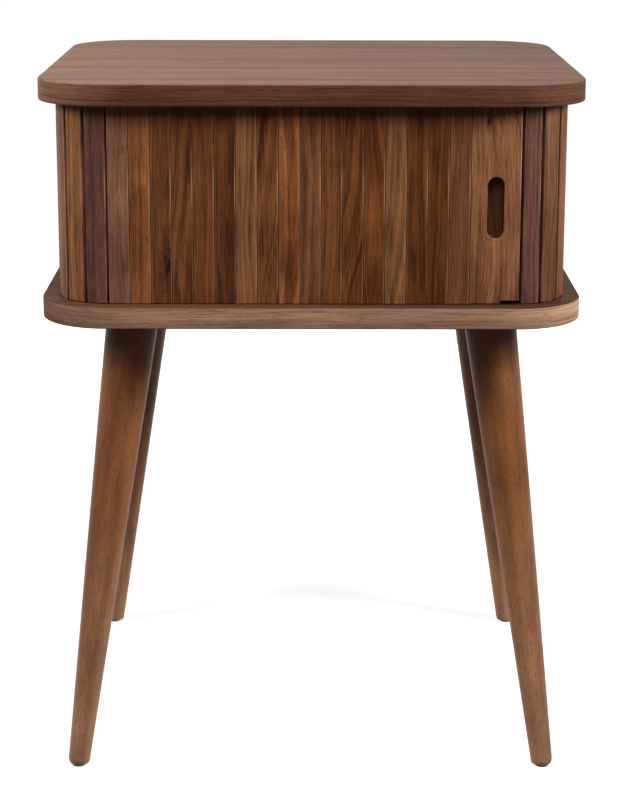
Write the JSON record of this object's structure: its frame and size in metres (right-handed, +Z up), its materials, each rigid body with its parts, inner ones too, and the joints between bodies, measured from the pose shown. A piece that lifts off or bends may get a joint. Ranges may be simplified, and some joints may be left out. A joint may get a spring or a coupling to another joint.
{
  "type": "bedside table",
  "caption": "Bedside table: a low cabinet with a sliding tambour door between two round-cornered boards, on four splayed tapered legs.",
  "frame": {"origin": "on the floor under the middle of the table", "axes": "+Z up, the tambour door faces -Y, and +X is to the right as one faces the door"},
  "size_m": [0.45, 0.38, 0.59],
  "materials": {
    "walnut_veneer": "walnut veneer, matt lacquer",
    "walnut_slat": "solid walnut slats, matt lacquer, each its own tone",
    "walnut_leg": "stained solid wood, matt lacquer",
    "liner_board": "walnut-faced board, matt",
    "canvas": "dark woven cotton canvas",
    "steel": "zinc plated",
    "brass": "turned",
    "beech": "beech dowel",
    "glide": "dark plastic"
  },
  "bodies": {
    "cabinet": {"top_panel": "walnut_veneer", "bottom_panel": "walnut_veneer", "left_liner": "liner_board", "right_liner": "liner_board", "inner_back": "liner_board", "back_panel": "walnut_veneer", "canvas": "canvas", "jamb_slat": "walnut_slat", "right_corner_slats": "walnut_slat", "right_side_slats": "walnut_slat", "right_rear_slats": "walnut_slat", "front_left_leg": "walnut_leg", "front_right_leg": "walnut_leg", "rear_left_leg": "walnut_leg", "rear_right_leg": "walnut_leg", "leg_bolts": "steel", "leg_inserts": "brass", "glides": "glide", "dowels": "beech", "carcass_screws": "steel"},
    "lead": {"lead_slat": "walnut_slat"},
    "door_run": {"door_slat_01": "walnut_slat", "door_slat_02": "walnut_slat", "door_slat_03": "walnut_slat", "door_slat_04": "walnut_slat", "door_slat_05": "walnut_slat", "door_slat_06": "walnut_slat", "door_slat_07": "walnut_slat", "door_slat_08": "walnut_slat", "door_slat_09": "walnut_slat", "door_slat_10": "walnut_slat", "door_slat_11": "walnut_slat", "door_slat_12": "walnut_slat", "door_slat_13": "walnut_slat"},
    "door_end_14": {"door_slat_14": "walnut_slat"},
    "door_end_15": {"door_slat_15": "walnut_slat"},
    "door_end_16": {"door_slat_16": "walnut_slat"},
    "door_end_17": {"door_slat_17": "walnut_slat"},
    "corner_1": {"corner_slat_1": "walnut_slat"},
    "corner_2": {"corner_slat_2": "walnut_slat"},
    "corner_3": {"corner_slat_3": "walnut_slat"},
    "corner_4": {"corner_slat_4": "walnut_slat"},
    "side_first": {"first_side_slat": "walnut_slat"},
    "side_run": {"side_slats": "walnut_slat"},
    "tail_1": {"tail_slat_1": "walnut_slat"},
    "tail_2": {"tail_slat_2": "walnut_slat"},
    "tail_3": {"tail_slat_3": "walnut_slat"},
    "tail_4": {"tail_slat_4": "walnut_slat"}
  },
  "joints": [
    {"name": "door_slide", "type": "slide", "parent": "cabinet", "child": "lead", "axis": [-1, 0, 0], "range_m": [0, 0.29495], "deforming": ["door_slat_01", "door_slat_02", "door_slat_03", "door_slat_04", "door_slat_05", "door_slat_06", "door_slat_07", "door_slat_08", "door_slat_09", "door_slat_10", "door_slat_11", "door_slat_12", "door_slat_13", "door_slat_14", "door_slat_15", "door_slat_16", "door_slat_17", "corner_slat_1", "corner_slat_2", "corner_slat_3", "corner_slat_4", "first_side_slat", "side_slats", "tail_slat_1", "tail_slat_2", "tail_slat_3", "tail_slat_4", "canvas"]},
    {"name": "door_run_turn", "type": "hinge", "parent": "cabinet", "child": "door_run", "pos_m": [-0.04846, -0.01346, 0.49], "axis": [0, 0, -1], "range_deg": [0, 90]},
    {"name": "door_end_14_turn", "type": "hinge", "parent": "cabinet", "child": "door_end_14", "pos_m": [-0.04716, -0.00625, 0.49], "axis": [0, 0, -1], "range_deg": [0, 86.96]},
    {"name": "door_end_15_turn", "type": "hinge", "parent": "cabinet", "child": "door_end_15", "pos_m": [-0.03914, 0.06798, 0.49], "axis": [0, 0, -1], "range_deg": [0, 64.55]},
    {"name": "door_end_16_turn", "type": "hinge", "parent": "cabinet", "child": "door_end_16", "pos_m": [-0.02985, 0.25138, 0.49], "axis": [0, 0, -1], "range_deg": [0, 38.73]},
    {"name": "door_end_17_turn", "type": "hinge", "parent": "cabinet", "child": "door_end_17", "pos_m": [-0.01826, 1.13393, 0.49], "axis": [0, 0, -1], "range_deg": [0, 12.91]},
    {"name": "corner_1_turn", "type": "hinge", "parent": "cabinet", "child": "corner_1", "pos_m": [-0.01359, -0.00851, 0.49], "axis": [0, 0, -1], "range_deg": [0, 77.09]},
    {"name": "corner_2_turn", "type": "hinge", "parent": "cabinet", "child": "corner_2", "pos_m": [0.05166, -0.00353, 0.49], "axis": [0, 0, -1], "range_deg": [0, 60.63]},
    {"name": "corner_3_turn", "type": "hinge", "parent": "cabinet", "child": "corner_3", "pos_m": [0.05309, -0.0035, 0.49], "axis": [0, 0, -1], "range_deg": [0, 60.35]},
    {"name": "corner_4_turn", "type": "hinge", "parent": "cabinet", "child": "corner_4", "pos_m": [0.03671, -0.00282, 0.49], "axis": [0, 0, -1], "range_deg": [0, 63.76]},
    {"name": "side_first_turn", "type": "hinge", "parent": "cabinet", "child": "side_first", "pos_m": [-0.03579, 0.00432, 0.49], "axis": [0, 0, -1], "range_deg": [0, 84.81]},
    {"name": "side_run_turn", "type": "hinge", "parent": "cabinet", "child": "side_run", "pos_m": [-0.04846, 0.00646, 0.49], "axis": [0, 0, -1], "range_deg": [0, 90]},
    {"name": "tail_1_turn", "type": "hinge", "parent": "cabinet", "child": "tail_1", "pos_m": [-0.04477, -0.01768, 0.49], "axis": [0, 0, -1], "range_deg": [0, 80.64]},
    {"name": "tail_2_turn", "type": "hinge", "parent": "cabinet", "child": "tail_2", "pos_m": [-0.03581, -0.12301, 0.49], "axis": [0, 0, -1], "range_deg": [0, 55.1]},
    {"name": "tail_3_turn", "type": "hinge", "parent": "cabinet", "child": "tail_3", "pos_m": [-0.0262, -0.40266, 0.49], "axis": [0, 0, -1], "range_deg": [0, 29.28]},
    {"name": "tail_4_turn", "type": "hinge", "parent": "cabinet", "child": "tail_4", "pos_m": [-0.0119, -3.09386, 0.49], "axis": [0, 0, -1], "range_deg": [0, 5.19]}
  ],
  "couplings": [
    {"joint": "door_run_turn", "follows": "door_slide", "rad_per_m": 5.3256},
    {"joint": "door_end_14_turn", "follows": "door_slide", "rad_per_m": 5.1457},
    {"joint": "door_end_15_turn", "follows": "door_slide", "rad_per_m": 3.8197},
    {"joint": "door_end_16_turn", "follows": "door_slide", "rad_per_m": 2.2918},
    {"joint": "door_end_17_turn", "follows": "door_slide", "rad_per_m": 0.76394},
    {"joint": "corner_1_turn", "follows": "door_slide", "rad_per_m": 4.5617},
    {"joint": "corner_2_turn", "follows": "door_slide", "rad_per_m": 3.5876},
    {"joint": "corner_3_turn", "follows": "door_slide", "rad_per_m": 3.5709},
    {"joint": "corner_4_turn", "follows": "door_slide", "rad_per_m": 3.7729},
    {"joint": "side_first_turn", "follows": "door_slide", "rad_per_m": 5.0188},
    {"joint": "side_run_turn", "follows": "door_slide", "rad_per_m": 5.3256},
    {"joint": "tail_1_turn", "follows": "door_slide", "rad_per_m": 4.7718},
    {"joint": "tail_2_turn", "follows": "door_slide", "rad_per_m": 3.2606},
    {"joint": "tail_3_turn", "follows": "door_slide", "rad_per_m": 1.7327},
    {"joint": "tail_4_turn", "follows": "door_slide", "rad_per_m": 0.30687}
  ]
}
